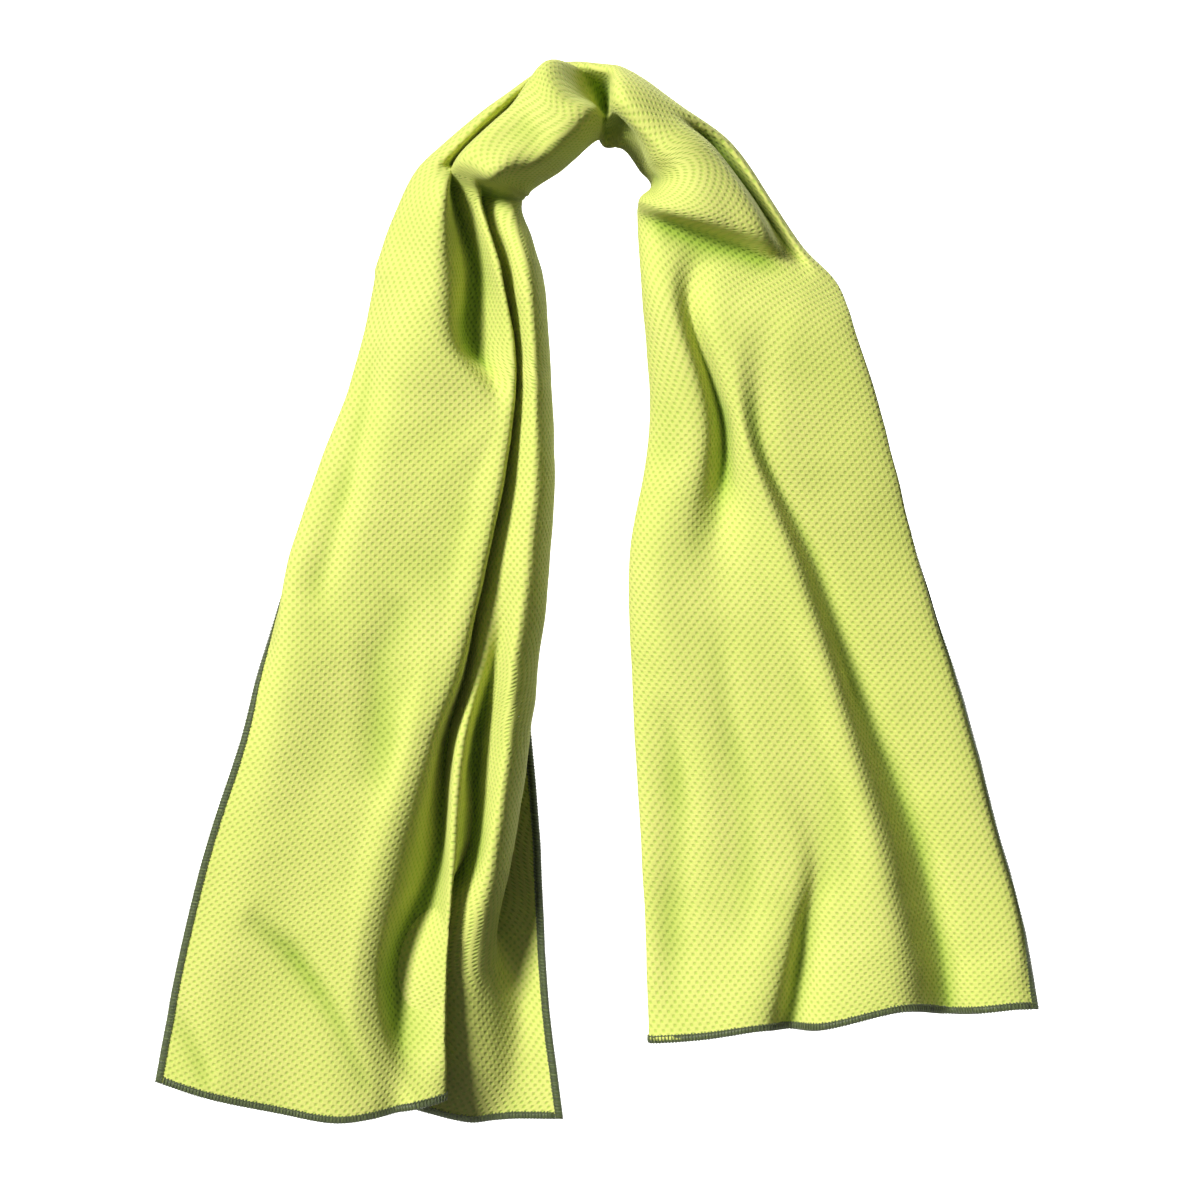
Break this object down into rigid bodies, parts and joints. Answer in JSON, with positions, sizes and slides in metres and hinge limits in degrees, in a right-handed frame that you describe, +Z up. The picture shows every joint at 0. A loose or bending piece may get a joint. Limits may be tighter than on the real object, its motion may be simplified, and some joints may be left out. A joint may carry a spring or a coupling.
{
  "type": "cooling towel",
  "caption": "Long thin mesh-knit cooling towel with overlocked edges, draped over the back of a neck with both tails hanging in folds in front.",
  "frame": {"origin": "where the back of the neck bears on the underside of the drape, at the lowest middle point of the neck hollow's roof", "axes": "+Z is up, away from the neck and out of the top of the drape; the tails hang towards -Z; the front of the worn towel faces -Y; +X is to the right seen from the front"},
  "size_m": [0.3884, 0.1291, 0.4703],
  "materials": {
    "cloth": "matt dimpled mesh knit",
    "thread": "matt overlock thread"
  },
  "bodies": {
    "root": {"towel_cloth": "cloth", "edging_outer_side": "thread", "edging_inner_side": "thread", "edging_left_hem": "thread", "edging_right_hem": "thread"}
  },
  "joints": []
}
